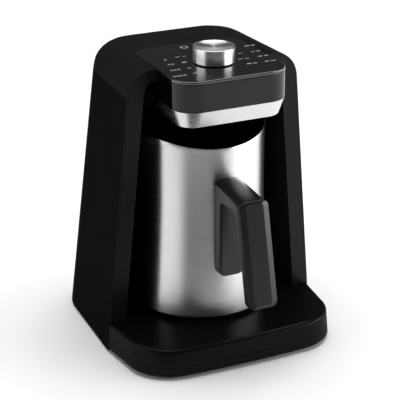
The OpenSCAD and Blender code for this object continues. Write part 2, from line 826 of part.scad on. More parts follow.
module head_housing() {
  lower = cavity_inset - housing_wall;
  color("#101010") difference() {
    union() {
      difference() {
        union() {
          slab(head_points(lower), housing_floor, trim_top + over);
          slab(head_points(housing_inset), trim_top, fascia_top);
          intersection() {
            slab(head_points(-ledge_w, head_back, head_rear_r), ledge_z, ledge_z + ledge_t);
            translate([-head_w, fascia_back + 2, 0]) cube([2 * head_w, 2 * head_w, body_h]);
          }
        }
        slab(head_points(cavity_inset), housing_floor + housing_wall, body_h);
      }
      post_places() translate([0, 0, housing_floor + eps])
        cylinder(r = post_r, h = control_z - housing_floor - eps);
      underside_screw_places() translate([0, 0, housing_floor + eps]) cylinder(r = post_r, h = post_hole);
    }
    translate([-ribbon_w / 2 - ribbon_room, head_back - 10, ribbon_z - ribbon_t - ribbon_room])
      cube([ribbon_w + 2 * ribbon_room, 20, 12]);
    post_places() translate([0, 0, control_z - post_hole]) cylinder(r = screw_r, h = post_hole + over);
    underside_screw_places() translate([0, 0, housing_floor - over]) cylinder(r = screw_r, h = post_hole);
    translate([0, pot_y, housing_floor - over]) cylinder(r = sensor_r + fit, h = housing_wall + 2 * over);
  }
}

module front_wrap(reach) {
  intersection() {
    children();
    translate([-head_w, -2 * head_w, 0]) cube([2 * head_w, 2 * head_w + reach, 2 * body_h]);
  }
}

module head_fascia() {
  low = trim_top + seam / 2;
  color("#0a0a0a") front_wrap(fascia_back) difference() {
    slab(head_points(0), low, fascia_top);
    slab(head_points(fascia_t), low - over, fascia_top + over);
  }
}

module trim_band() {
  high = trim_top - seam / 2;
  color("#c9c9c9") front_wrap(fascia_back) difference() {
    loft([for (z = [trim_bottom, high]) at_height(head_points(trim_inset(z)), z)]);
    loft([for (z = [trim_bottom - over, high + over]) at_height(head_points(trim_inset(z) + trim_t), z)]);
  }
}

module head_underside() {
  low = trim_bottom + 0.2;
  color("#0d0d0d") difference() {
    union() {
      slab(head_points(underside_inset), low, low + underside_t);
      underside_screw_places() translate([0, 0, low + eps])
        cylinder(r = boss_r, h = housing_floor - low - run);
    }
    underside_screw_places() translate([0, 0, low - over]) cylinder(r = screw_r + fit, h = 10);
    underside_screw_places() translate([0, 0, low - over])
      cylinder(r = head_screw_r + head_room, h = over + screw_r + 2 * fit);
    translate([0, pot_y, low - over]) cylinder(r = lens_r, h = underside_t + 2 * over);
  }
}

module underside_screws() {
  top = trim_bottom + 0.4 + screw_r + underside_screw_l;
  color("silver") underside_screw_places() translate([0, 0, top])
    rotate([180, 0, 0]) pan_screw(underside_screw_l);
}

module top_panel() {
  edge = 0.8;
  levels = [[panel_under, 0], [panel_top - edge, 0], [panel_top - edge * 0.3, edge * 0.3],
    [panel_top, edge]];
  color("#0b0b0b") difference() {
    loft([for (v = levels) at_height(head_points(v[1], panel_back, panel_rear_r), v[0])]);
    translate([0, -knob_front, panel_under - over]) cylinder(r = shaft_r + 1, h = panel_t + 2 * over);
  }
}

module control_board() {
  color("#2f5d34") difference() {
    slab(head_points(control_inset, control_back + control_inset, 2 + control_inset), control_z, encoder_z);
    post_places() translate([0, 0, control_z - over]) cylinder(r = screw_r + fit, h = board_t + 2 * over);
  }
}

module control_screws() {
  color("silver") post_places() translate([0, 0, encoder_z - control_screw_l]) pan_screw(control_screw_l);
}

// metal springs that lead each touch key's pad up to the panel
module touch_springs() {
  color("#b8b8b8") for (x = [-1, 1], i = [0:1], j = [0:1])
    translate([x * (spring_start[0] + spring_pitch[0] * i),
      spring_start[1] - knob_front + spring_pitch[1] * j, encoder_z]) difference() {
      cylinder(r = spring_r, h = panel_under - encoder_z - run, $fn = 24);
      translate([0, 0, -over]) cylinder(r = spring_r - spring_wall, h = body_h, $fn = 24);
    }
}

module encoder_body() {
  color("#8f9296") translate([0, -knob_front, 0]) difference() {
    union() {
      translate([-encoder_w / 2, -encoder_w / 2, encoder_z]) cube([encoder_w, encoder_w, encoder_h]);
      cylinder(r = bush_r, h = bush_top);
    }
    cylinder(r = bush_r + over, h = encoder_z);
    translate([0, 0, plunger_z - knob_travel - 0.3])
      cylinder(r = plunger_r + run, h = plunger_t + knob_travel + 1.3);
    cylinder(r = shaft_r + run, h = bush_top + over);
  }
}

module foam_sensor() {
  color("#1a1a24") translate([0, pot_y, 0]) {
    translate([0, 0, trim_bottom + underside_t + 0.3]) cylinder(r = sensor_r, h = sensor_l);
    translate([0, 0, housing_floor + housing_wall + run])
      cylinder(r = sensor_r + sensor_flange[0], h = sensor_flange[1]);
  }
}

module sensor_lens() {
  color("#40181c") translate([0, pot_y, trim_bottom + 0.5])
    cylinder(r = lens_r - run, h = underside_t - 0.4);
}

module buzzer() {
  color("#101010") translate([buzzer_place[0], buzzer_place[1] - control_front, encoder_z])
    cylinder(r = buzzer_r, h = buzzer_h);
}

// ---- pot ----

function spout(a) = let (off = min(abs(a), abs(a - 180), abs(a - 360)) / lip_angle)
  off >= 1 ? 0 : (1 + cos(180 * off)) / 2;
function rim_height(a) = pot_h + rim_rise * (1 + cos(2 * a)) / 2 - lip_dip * spout(a);
function flare(h) = h >= neck_h ? 0 : (pot_foot_r - pot_neck_r) * (1 - h / neck_h) ^ 1.35;
function lip_curve(h, a) = let (from = pot_h - lip_depth, up = (h - from) / (rim_height(a) - from))
  up <= 0 ? 0 : lip_reach * spout(a) * up ^ 2;
function pot_radius(h, a, inset) = pot_neck_r + flare(h) + lip_curve(h, a) - inset;
function pot_ring(h, inset, extra = 0) = [for (i = [0:pot_steps - 1]) let (a = 360 * i / pot_steps,
  r = pot_radius(h, a, inset + extra)) [r * cos(a), r * sin(a), h]];
// above the neck the rings follow the rim, which rises at the sides and dips at the lips
function upper_ring(u, inset) = [for (i = [0:pot_steps - 1]) let (a = 360 * i / pot_steps,
  h = neck_h + (rim_height(a) - neck_h) * u, r = pot_radius(h, a, inset)) [r * cos(a), r * sin(a), h]];
function flat_ring(h, r) =
  [for (i = [0:pot_steps - 1]) let (a = 360 * i / pot_steps) [r * cos(a), r * sin(a), h]];
foot_steps = [for (i = [0:4]) 90 * i / 4];
wall_shares = [0.2, 0.45, 0.7];
neck_shares = [0, 0.25, 0.45, 0.6, 0.75, 0.88, 1];
function pot_outside(grow) = concat(
  [for (t = foot_steps) pot_ring(pot_foot_edge * (1 - cos(t)), -grow, pot_foot_edge * (1 - sin(t)))],
  [for (q = wall_shares) pot_ring(neck_h * q, -grow)], [for (u = neck_shares) upper_ring(u, -grow)]);
function pot_inside() = let (floor_h = disc_t + pot_wall) concat(
  [for (i = [len(neck_shares) - 1:-1:0]) upper_ring(neck_shares[i], pot_wall)],
  [for (i = [len(wall_shares) - 1:-1:0]) pot_ring(neck_h * wall_shares[i], pot_wall)],
  [pot_ring(floor_h + pot_bend_r, pot_wall), pot_ring(floor_h + 1, pot_wall, 1.2),
  pot_ring(floor_h, pot_wall, pot_bend_r)]);

module pot_body() {
  foot = [flat_ring(disc_t, disc_r + fit), flat_ring(0, disc_r + fit)];
  color("#c4c4c4") translate([0, pot_y, pot_z]) loft(concat(foot, pot_outside(0), pot_inside()));
}

module pot_base_disc() {
  color("#b0b0b0") translate([0, pot_y, pot_z]) cylinder(r = disc_r, h = disc_t - run, $fn = 96);
}

// ---- handle ----

// places its children on the leaning grip: y = 0 is the cover's face, z runs up the grip
module on_grip() {
  translate([0, -grip_reach, grip_bottom]) rotate([-grip_lean, 0, 0]) children();
}
// reach of a layer of the grip, at a height and a depth behind the cover's face
function grip_y(z, depth) = -grip_reach + (z - grip_bottom) * tan(grip_lean) + depth / cos(grip_lean);

module side_profile(points, width) {
  rotate([90, 0, 90]) translate([0, 0, -width / 2]) linear_extrude(width) polygon(points);
}

// cross-section of the arm at a distance from the pot: crowned, and chamfered along its top edges
function arm_section(y, half, top) =
  let (low = grip_top - arm_h - gap_r, edge = top - arm_crown, inner = half - arm_chamfer_w)
  [[-half, y, low], [-half, y, edge - arm_chamfer_h], [-inner, y, edge], [-inner / 2, y, top],
  [inner / 2, y, top], [inner, y, edge], [half, y, edge - arm_chamfer_h], [half, y, low]];
// outline of the pad that lies on the pot, drawn in by a distance
function pad_outline(y, inset) =
  let (half = pad_w / 2 - inset, low = pad_bottom + inset, r = pad_corner_r - inset / 2, top = grip_top - 2)
  concat([[half, y, top], [-half, y, top]],
    [for (p = arc_points(r - half, low + r, r, 180, 270, 6)) [p[0], y, p[1]]],
    [for (p = arc_points(half - r, low + r, r, 270, 360, 6)) [p[0], y, p[1]]]);

// the steel saddle under the handle, grown by a clearance
module saddle(grow) {
  translate([0, pot_y, bolt_z - bracket_h / 2 - grow]) intersection() {
    difference() {
      cylinder(r = pot_neck_r + bracket_t + grow, h = bracket_h + 2 * grow, $fn = 96);
      translate([0, 0, -over]) cylinder(r = pot_neck_r + run, h = bracket_h + 2 * over + 2 * grow, $fn = 96);
    }
    translate([-bracket_w / 2 - grow, -2 * pot_neck_r, -over])
      cube([bracket_w + 2 * grow, 2 * pot_neck_r, bracket_h + 2 * over + 2 * grow]);
  }
}

module handle_grip() {
  depth = cover_d + grip_d;
  r = grip_back_r;
  half = grip_w / 2;
  pot_face = pot_y - pot_neck_r;
  pad_face = pot_face - pad_t;
  low = grip_top - arm_h - gap_r;
  end_y = grip_y(grip_top, cover_d) + 0.6;
  gap_y = pad_face + 0.3;
  grip_back = grip_y(low, depth - 0.3);
  head_pocket = 2 * bolt_r + 4 * fit;
  color("#1b1a19") difference() {
    union() {
      on_grip() intersection() {
        linear_extrude(grip_l) polygon(concat([[half, cover_d], [half, depth - r]],
          arc_points(half - r, depth - r, r, 0, 90, 5), arc_points(r - half, depth - r, r, 90, 180, 5),
          [[-half, cover_d]]));
        rotate([90, 0, 0]) translate([0, 0, -depth - over]) linear_extrude(depth + over)
          polygon(rect_points(half + eps, 0, grip_l, grip_corner_r));
      }
      difference() {
        loft([arm_section(end_y, half - 0.3, grip_top),
          arm_section(pad_face, pad_w / 2 + 0.4, grip_top + arm_rise),
          arm_section(pot_face + pot_wall * 4, pad_w / 2 + 0.2, grip_top + arm_rise)]);
        side_profile(concat([[gap_y, low - over]], arc_points(gap_y - gap_r, low, gap_r, 0, 90, 7),
          arc_points(grip_back + gap_r, low, gap_r, 90, 180, 7),
          [[grip_y(low - over, depth - 0.3), low - over]]), 2 * grip_w);
      }
      loft([pad_outline(pot_y - pot_neck_r * 0.7, 0), pad_outline(pad_face + 2, 0),
        pad_outline(pad_face + 0.6, 0.6), pad_outline(pad_face, 2)]);
    }
    on_grip() side_profile([[cover_d, -over], [depth + over, -over],
      [depth + over, grip_heel * (grip_d + over) / grip_d], [cover_d, 0]], 2 * grip_w);
    translate([0, pot_y, pot_z]) loft(pot_outside(seam));
    saddle(fit);
    translate([0, pot_y - pot_neck_r, bolt_z]) rotate([90, 0, 0])
      cylinder(r = bolt_r + fit, h = 2 * grip_reach);
    translate([0, bolt_seat, bolt_z]) rotate([90, 0, 0]) cylinder(r = head_pocket, h = 2 * grip_reach);
  }
}

function rect_points(half, low, high, r) = concat(arc_points(half - r, high - r, r, 0, 90, 5),
  arc_points(r - half, high - r, r, 90, 180, 5), arc_points(r - half, low + r, r, 180, 270, 5),
  arc_points(half - r, low + r, r, 270, 360, 5));

module handle_cover() {
  lip = 1.2;
  half = grip_w / 2;
  back = at_height(rect_points(half, 0, grip_l, grip_corner_r), 0);
  edge = at_height(rect_points(half, 0, grip_l, grip_corner_r), lip);
  face = at_height(rect_points(half - bevel, bevel_end, grip_l - bevel_end, grip_corner_r / 2),
    cover_d - seam);
  color("#242322") on_grip() translate([0, cover_d - seam, 0]) rotate([90, 0, 0]) loft([back, edge, face]);
}

module pot_bracket() {
  color("silver") difference() {
    saddle(0);
    translate([0, 0, bolt_z]) rotate([90, 0, 0]) cylinder(r = bolt_r, h = 2 * pot_neck_r);
  }
}

module handle_bolt() {
  color("silver") translate([0, pot_y - pot_neck_r - run, bolt_z]) rotate([90, 0, 0]) {
    cylinder(r = bolt_r, h = pot_y - pot_neck_r - bolt_seat);
    translate([0, 0, pot_y - pot_neck_r - bolt_seat]) difference() {
      cylinder(r = 2 * bolt_r, h = bolt_r * 1.2);
      translate([0, 0, bolt_r * 0.4]) cylinder(r = bolt_r * 0.9, h = bolt_r, $fn = 6);
    }
  }
}

// ---- knob ----

module encoder_plunger() {
  color("#d8d4c8") translate([0, -knob_front, plunger_z]) difference() {
    cylinder(r = plunger_r, h = plunger_t);
    translate([0, 0, -over]) cylinder(r = tip_r + run, h = plunger_t + 2 * over);
  }
}

module encoder_shaft() {
  foot = plunger_z + plunger_t + run;
  top = knob_z + knob_h - 3.4;
  color("#b4b4b4") translate([0, -knob_front, 0]) {
    translate([0, 0, plunger_z + 0.3]) cylinder(r = tip_r, h = foot - plunger_z);
    translate([0, 0, foot]) cylinder(r = shaft_r, h = knob_z + 1 - foot);
    translate([0, 0, knob_z + 1 - eps]) intersection() {
      cylinder(r = shaft_r, h = top - knob_z - 1);
      translate([-shaft_r, -shaft_r, 0]) cube([2 * shaft_r, 1.5 * shaft_r, top]);
    }
  }
}

module knob_hub() {
  hub_r = knob_r - knob_wall - run;
  top = knob_h - knob_top_t - run;
  color("#202020") translate([0, -knob_front, knob_z]) difference() {
    union() {
      difference() {
        translate([0, 0, hub_lift]) cylinder(r = hub_r, h = top - hub_lift);
        translate([0, 0, -over]) cylinder(r = hub_r - hub_wall, h = top - 1 + over);
      }
      translate([0, 0, hub_lift]) cylinder(r = shaft_r + 2, h = top - 1);
      for (a = [0, 60, 120]) rotate(a) translate([-hub_r + 0.5, -hub_rib / 2, 2.5])
        cube([2 * hub_r - 1, hub_rib, top - 3]);
    }
    translate([0, 0, -over]) cylinder(r = shaft_r + run, h = 1 + over);
    intersection() {
      translate([0, 0, -over]) cylinder(r = shaft_r + run, h = top - 0.4 + over);
      translate([-knob_r, -knob_r, -over]) cube([2 * knob_r, knob_r + shaft_r / 2 + run, knob_h]);
    }
  }
}

module knob_cap() {
  edge = knob_edge;
  dish_r = knob_r - 2.2;
  color("#cfcfcf") translate([0, -knob_front, knob_z]) rotate_extrude($fn = 96) polygon(concat(
    [[knob_r - knob_wall, 0], [knob_r - edge / 2, 0], [knob_r, edge / 2], [knob_r, knob_h - edge],
    [knob_r - edge, knob_h], [dish_r, knob_h]],
    [for (i = [1:6]) let (x = 1 - i / 6) [dish_r * x, knob_h - knob_dish * (1 - x * x)]],
    [[0, knob_h - knob_top_t], [knob_r - knob_wall, knob_h - knob_top_t]]));
}

body_shell();
niche_liner();
rear_cover();
rear_screws();
base_tray();
base_pan();
base_screws();
feet();
hot_plate();
plate_seal();
heating_element();
element_clamp();
clamp_screws();
thermostat();
power_board();
relay();
transformer();
capacitors();
terminal_block();
board_screws();
heater_leads();
ribbon_cable();
head_housing();
head_fascia();
trim_band();
head_underside();
underside_screws();
top_panel();
control_board();
control_screws();
touch_springs();
encoder_body();
foam_sensor();
sensor_lens();
buzzer();
cord_gland();
pot_body();
pot_base_disc();
pot_bracket();
handle_grip();
handle_cover();
handle_bolt();
encoder_plunger();
encoder_shaft();
knob_hub();
knob_cap();
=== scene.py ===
import math
import bmesh
import bpy
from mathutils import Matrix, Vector


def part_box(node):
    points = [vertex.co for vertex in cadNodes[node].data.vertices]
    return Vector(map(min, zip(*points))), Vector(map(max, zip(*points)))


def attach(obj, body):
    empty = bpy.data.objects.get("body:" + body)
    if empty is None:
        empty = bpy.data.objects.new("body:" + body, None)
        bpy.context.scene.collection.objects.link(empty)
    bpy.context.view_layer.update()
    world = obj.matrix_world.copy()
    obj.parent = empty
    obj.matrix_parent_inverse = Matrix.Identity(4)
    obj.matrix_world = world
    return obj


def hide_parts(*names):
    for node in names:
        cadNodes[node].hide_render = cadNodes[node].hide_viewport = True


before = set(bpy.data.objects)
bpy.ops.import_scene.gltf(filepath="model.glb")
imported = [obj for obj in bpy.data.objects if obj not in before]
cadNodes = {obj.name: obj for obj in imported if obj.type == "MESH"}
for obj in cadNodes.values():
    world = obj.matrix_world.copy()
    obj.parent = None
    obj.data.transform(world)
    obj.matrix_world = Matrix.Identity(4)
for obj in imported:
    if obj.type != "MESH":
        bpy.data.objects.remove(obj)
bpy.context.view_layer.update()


def deselectAll():
    if bpy.context.mode != "OBJECT":
        bpy.ops.object.mode_set(mode="OBJECT")
    bpy.ops.object.select_all(action="DESELECT")


def pickOnly(piece):
    deselectAll()
    piece.select_set(True)
    bpy.context.view_layer.objects.active = piece


def selectOpenEdges():
    # in edit mode: the edges that have a face on one side only
    mesh = bmesh.from_edit_mesh(bpy.context.object.data)
    bpy.ops.mesh.select_mode(type="EDGE")
    bpy.ops.mesh.select_all(action="DESELECT")
    for edge in mesh.edges:
        edge.select = edge.is_boundary
    mesh.select_flush_mode()
    bmesh.update_edit_mesh(bpy.context.object.data)


def smoothByAngle(piece, degrees):
    pickOnly(piece)
    bpy.ops.object.shade_smooth_by_angle(angle=math.radians(degrees))


def weighFlats(piece):
    # keeps broad faces flat, so that only the rounded edges turn the light
    pickOnly(piece)
    weigh = piece.modifiers.new("flats", "WEIGHTED_NORMAL")
    weigh.keep_sharp = True
    bpy.ops.object.modifier_apply(modifier=weigh.name)


def addBevel(piece, width, segments=2, degrees=30):
    pickOnly(piece)
    bevel = piece.modifiers.new("edges", "BEVEL")
    bevel.width = width
    bevel.segments = segments
    bevel.limit_method = "ANGLE"
    bevel.angle_limit = math.radians(degrees)
    bevel.use_clamp_overlap = True
    bpy.ops.object.modifier_apply(modifier=bevel.name)


def placeInMesh(piece):
    pickOnly(piece)
    bpy.ops.object.transform_apply(location=True, rotation=True, scale=True)


def finishPiece(piece, name, finish, body, slotName, *stands):
    piece.name = name
    piece.data.name = name
    piece.data.materials.clear()
    piece.data.materials.append(finish)
    if stands:
        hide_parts(*stands)
    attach(piece, body)


merging = {"distance": 0.000005, "flatAngle": 0.4}    # metres, degrees


def cleanCopy(node):
    # a CAD node is loose triangles: the copy is merged and its flat areas become single faces
    piece = cadNodes[node].copy()
    piece.data = cadNodes[node].data.copy()
    piece.parent = None
    for key in list(piece.keys()):
        if key.startswith("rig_"):
            del piece[key]
    bpy.context.scene.collection.objects.link(piece)
    pickOnly(piece)
    bpy.ops.object.mode_set(mode="EDIT")
    bpy.ops.mesh.select_all(action="SELECT")
    bpy.ops.mesh.customdata_custom_splitnormals_clear()
    bpy.ops.mesh.remove_doubles(threshold=merging["distance"])
    bpy.ops.mesh.dissolve_limited(angle_limit=math.radians(merging["flatAngle"]))
    bpy.ops.object.mode_set(mode="OBJECT")
    return piece


def linear(hexText):
    # sRGB hex to the linear values that the shader wants
    parts = [int(hexText[i:i + 2], 16) / 255 for i in (1, 3, 5)]
    return tuple(c / 12.92 if c <= 0.04045 else ((c + 0.055) / 1.055) ** 2.4 for c in parts) + (1.0,)


def darker(colour, share):
    return tuple(c * share for c in colour[:3]) + (1.0,)


def addNode(tree, kind, settings=None, links=None, **options):
    node = tree.nodes.new(kind)
    for key, value in options.items():
        setattr(node, key, value)
    for key, value in (settings or {}).items():
        node.inputs[key].default_value = value
    for key, source in (links or {}).items():
        tree.links.new(source, node.inputs[key])
    return node


def newMaterial(name):
    material = bpy.data.materials.new(name)
    material.use_nodes = True
    tree = material.node_tree
    tree.nodes.clear()
    return material, tree, addNode(tree, "ShaderNodeOutputMaterial")


# noise gathers round the middle of its range, so this part of it is spread over the full swing
noise = {"low": 0.3, "high": 0.7}

# clouds per metre, 55 mm each, as a moulding's gloss drifts; heights in metres
plastic = {"clouds": 18.0, "cloudDetail": 3.0, "glossSwing": 0.04, "grainDetail": 2.0,
           "grainHeight": 0.0002, "ior": 1.53, "skinIor": 1.5}


def mouldedPlastic(name, darkHex, lightHex, roughness, grain, grainDepth, specular=0.5,
                   skin=0.0, skinRoughness=0.3):
    # a spark-eroded mould's grain, with faint clouds in tone and gloss; grain is its width in metres,
    # several times the real 0.2 mm, so that it shows
    material, tree, output = newMaterial(name)
    place = addNode(tree, "ShaderNodeTexCoord")
    cloud = addNode(tree, "ShaderNodeTexNoise",
                    {"Scale": plastic["clouds"], "Detail": plastic["cloudDetail"]},
                    {"Vector": place.outputs["Object"]})
    tone = addNode(tree, "ShaderNodeMix", {6: linear(darkHex), 7: linear(lightHex)},
                   {0: cloud.outputs["Fac"]}, data_type="RGBA")
    gloss = addNode(tree, "ShaderNodeMapRange",
                    {"From Min": noise["low"], "From Max": noise["high"],
                     "To Min": roughness - plastic["glossSwing"],
                     "To Max": roughness + plastic["glossSwing"]},
                    {"Value": cloud.outputs["Fac"]})
    spark = addNode(tree, "ShaderNodeTexNoise", {"Scale": 1 / grain, "Detail": plastic["grainDetail"]},
                    {"Vector": place.outputs["Object"]})
    bump = addNode(tree, "ShaderNodeBump",
                   {"Strength": grainDepth, "Distance": plastic["grainHeight"]},
                   {"Height": spark.outputs["Fac"]})
    shader = addNode(tree, "ShaderNodeBsdfPrincipled",
                     {"IOR": plastic["ior"], "Specular IOR Level": specular, "Coat Weight": skin,
                      "Coat Roughness": skinRoughness, "Coat IOR": plastic["skinIor"]},
                     {"Base Color": tone.outputs[2], "Roughness": gloss.outputs["Result"],
                      "Normal": bump.outputs["Normal"]})
    tree.links.new(shader.outputs["BSDF"], output.inputs["Surface"])
    return material


# the lines' dark side keeps this share of the colour; line height in metres, turn in full turns
metal = {"darkShare": 0.95, "glossSwing": 0.05, "lineDetail": 4.0, "lineRoughness": 0.6,
         "lineHeight": 0.0001, "turn": 0.25}


def brushedMetal(name, hexText, roughness, lineScale, lineDepth, anisotropy):
    # fine lines left by a brush or a lathe: lineScale is lines per metre along each axis
    material, tree, output = newMaterial(name)
    place = addNode(tree, "ShaderNodeTexCoord")
    stretch = addNode(tree, "ShaderNodeMapping", {"Scale": lineScale},
                      {"Vector": place.outputs["Object"]})
    lines = addNode(tree, "ShaderNodeTexNoise",
                    {"Scale": 1.0, "Detail": metal["lineDetail"], "Roughness": metal["lineRoughness"]},
                    {"Vector": stretch.outputs["Vector"]})
    base = linear(hexText)
    tone = addNode(tree, "ShaderNodeMix", {6: darker(base, metal["darkShare"]), 7: base},
                   {0: lines.outputs["Fac"]}, data_type="RGBA")
    gloss = addNode(tree, "ShaderNodeMapRange",
                    {"From Min": noise["low"], "From Max": noise["high"],
                     "To Min": roughness - metal["glossSwing"],
                     "To Max": roughness + metal["glossSwing"]},
                    {"Value": lines.outputs["Fac"]})
    bump = addNode(tree, "ShaderNodeBump", {"Strength": lineDepth, "Distance": metal["lineHeight"]},
                   {"Height": lines.outputs["Fac"]})
    shader = addNode(tree, "ShaderNodeBsdfPrincipled",
                     {"Metallic": 1.0, "Anisotropic": anisotropy, "Anisotropic Rotation": metal["turn"]},
                     {"Base Color": tone.outputs[2], "Roughness": gloss.outputs["Result"],
                      "Normal": bump.outputs["Normal"]})
    tree.links.new(shader.outputs["BSDF"], output.inputs["Surface"])
    return material


# blotches per metre, 7 mm each, and the share of the colour that the darkest keeps
smallPart = {"blotches": 140.0, "blotchDetail": 2.0, "darkShare": 0.82}


def plainFinish(name, hexText, roughness, metallic=0.0):
    # one colour broken up by light blotches, for small parts
    material, tree, output = newMaterial(name)
    place = addNode(tree, "ShaderNodeTexCoord")
    cloud = addNode(tree, "ShaderNodeTexNoise",
                    {"Scale": smallPart["blotches"], "Detail": smallPart["blotchDetail"]},
                    {"Vector": place.outputs["Object"]})
    base = linear(hexText)
    tone = addNode(tree, "ShaderNodeMix", {6: darker(base, smallPart["darkShare"]), 7: base},
                   {0: cloud.outputs["Fac"]}, data_type="RGBA")
    shader = addNode(tree, "ShaderNodeBsdfPrincipled", {"Metallic": metallic, "Roughness": roughness},
                     {"Base Color": tone.outputs[2]})
    tree.links.new(shader.outputs["BSDF"], output.inputs["Surface"])
    return material


# mouldedPlastic takes the name, the dark and the light tone, roughness, the grain's width and depth,
# the specular level, and the weight and roughness of a glossier skin
# moulded, textured ABS of the shell: soft charcoal with hardly any shine
satinBlack = mouldedPlastic("satinBlackAbs", "#191919", "#1e1e1e", 0.45, 0.0011, 0.05, 0.0, 0.03, 0.35)
# the same ABS with a coarser texture on the flat sides, in a darker colour and quite dull: painted shade,
# darker only because these faces look sideways
shadedSidesBlack = mouldedPlastic("shadedSidesAbs", "#0d0d0d", "#111111", 0.5, 0.0011, 0.08, 0.0, 0.015, 0.4)
# the same ABS on the columns' faces, darker and with a glossier skin: painted sheen, a lit copy for the
# faces that look forward, so that a soft sheen follows the light down the column
sheenFrontsBlack = mouldedPlastic("sheenFrontsAbs", "#0b0b0b", "#0f0f0f", 0.45, 0.0011, 0.03, 0.0, 0.45, 0.35)
# ABS of the base, with a finer texture: near black, with a faint broad shine on its rim
baseBlack = mouldedPlastic("baseBlackAbs", "#080808", "#0b0b0b", 0.45, 0.0011, 0.04, 0.0, 0.18, 0.28)
# matt ABS inside the alcove and under the head, darker than the shell: painted shade in the recess and
# under the head
shadedAlcoveBlack = mouldedPlastic("shadedAlcoveAbs", "#121212", "#161616", 0.5, 0.0011, 0.06, 0.0, 0.04, 0.45)
# ABS from a polished mould, on the fascia: black that mirrors the table
glossBlack = mouldedPlastic("polishedBlackAbs", "#030303", "#050505", 0.06, 0.004, 0.0, 0.4)
# back-painted glass of the touch panel: black with a clear mirror of the knob
touchGlass = mouldedPlastic("blackTouchGlass", "#030303", "#050505", 0.05, 0.004, 0.0, 0.8, 0.7, 0.05)
# pressed Bakelite of the handle: warm black with a satin shine on its bevels
handleBlack = mouldedPlastic("satinBakelite", "#151311", "#1a1715", 0.4, 0.0009, 0.04, 0.0, 1.0, 0.27)
# a near black, dull finish on the inner wall and floor of the pot: a dark mouth
potInsideBlack = mouldedPlastic("darkPotInside", "#070707", "#0a0a0a", 0.5, 0.0012, 0.05, 0.0, 0.04, 0.4)
# moulded rubber of the feet: dull dark grey
rubberBlack = mouldedPlastic("footRubber", "#101010", "#181818", 0.75, 0.0012, 0.1, 0.1)
# moulded silicone round the hot plate: black with a soft bloom
siliconeDark = mouldedPlastic("siliconeSeal", "#141414", "#1b1b1b", 0.5, 0.0015, 0.04, 0.1)
# sprayed, baked coating of the hot plate: dark grey with a pebbled texture
plateCoat = mouldedPlastic("hotPlateCoating", "#161616", "#1f1f1f", 0.45, 0.0008, 0.12, 0.2)
# brushedMetal takes the name, colour, roughness, lines per metre, their depth and the anisotropy
# spun stainless steel brushed round the pot, lines 0.24 mm apart: tall soft streaks of light
potSteel = brushedMetal("brushedStainlessSteel", "#e6e4e2", 0.31, (30.0, 30.0, 4200.0), 0.015, 0.72)
# brushed, anodised aluminium of the trim, lines 0.33 mm apart: a bright satin band
trimAluminium = brushedMetal("satinAluminiumTrim", "#e2e2e3", 0.26, (60.0, 60.0, 3000.0), 0.02, 0.3)
# turned, anodised aluminium of the knob: upright bands of light on its side
knobAluminium = brushedMetal("turnedAluminium", "#d6d6d7", 0.3, (60.0, 60.0, 3000.0), 0.03, 0.7)
# cast aluminium disc under the pot, 2.5 mm texture: dull grey metal
spreaderMetal = brushedMetal("castAluminiumDisc", "#b4b2ae", 0.4, (400.0, 400.0, 400.0), 0.1, 0.0)
# zinc-plated steel of screws, springs and brackets: light bluish metal
zincPlate = plainFinish("zincPlatedSteel", "#a9adb0", 0.35, 1.0)
# steel sheath of the heating tube, tinted by heat: brownish metal
heaterSheath = plainFinish("heatTintedSheath", "#6b5f55", 0.4, 1.0)
# varnished glass-fibre circuit board: smooth green
boardGreen = plainFinish("varnishedBoard", "#1f5a30", 0.35)
# moulded epoxy of the components: blue-black, half matt
moduleBlack = plainFinish("componentResin", "#22252c", 0.5)
# polyester tape wound round the transformer: dull amber
windingTape = plainFinish("windingTape", "#b08a36", 0.55)
# moulded polyamide of the terminal block: half-matt green
terminalGreen = plainFinish("terminalPolyamide", "#2f7a48", 0.5)
# silicone-covered leads of the heater: half-matt red
leadRed = plainFinish("siliconeLead", "#a8281e", 0.5)
# extruded PVC of the ribbon cable: plain grey
ribbonGrey = plainFinish("ribbonPvc", "#8d8f96", 0.5)
# pressed and fired steatite of the thermostat: chalky buff
ceramicBuff = plainFinish("steatite", "#cfc7ae", 0.7)
# tinted acrylic of the sensor's lens: glassy, nearly black red
lensRed = plainFinish("tintedLens", "#3a0e10", 0.08)
# moulded acetal of the encoder's plunger: waxy white
plungerWhite = plainFinish("acetal", "#ded9cc", 0.45)
# screen-printed ink on the panel: dull light grey
whiteInk = plainFinish("screenPrintedInk", "#b8b8b8", 0.5)
print("materials ready")

# the nodes that keep their CAD shape
carriedNodes = {
    "rear_screws": zincPlate, "base_screws": zincPlate, "clamp_screws": zincPlate,
    "board_screws": zincPlate, "underside_screws": zincPlate, "control_screws": zincPlate,
    "touch_springs": zincPlate, "encoder_body": zincPlate, "element_clamp": zincPlate,
    "pot_bracket": zincPlate, "handle_bolt": zincPlate, "encoder_shaft": zincPlate,
    "feet": rubberBlack, "cord_gland": rubberBlack, "plate_seal": siliconeDark,
    "hot_plate": plateCoat, "heating_element": heaterSheath, "thermostat": ceramicBuff,
    "power_board": boardGreen, "relay": moduleBlack, "transformer": windingTape,
    "capacitors": moduleBlack, "terminal_block": terminalGreen, "heater_leads": leadRed,
    "ribbon_cable": ribbonGrey, "head_housing": shadedAlcoveBlack, "head_underside": shadedAlcoveBlack,
    "rear_cover": satinBlack, "control_board": boardGreen, "foam_sensor": moduleBlack,
    "sensor_lens": lensRed, "buzzer": moduleBlack, "pot_base_disc": spreaderMetal,
    "encoder_plunger": plungerWhite, "knob_hub": moduleBlack,
}
for node, finish in carriedNodes.items():
    cadNodes[node].data.materials.clear()
    cadNodes[node].data.materials.append(finish)
print("carried nodes dressed")

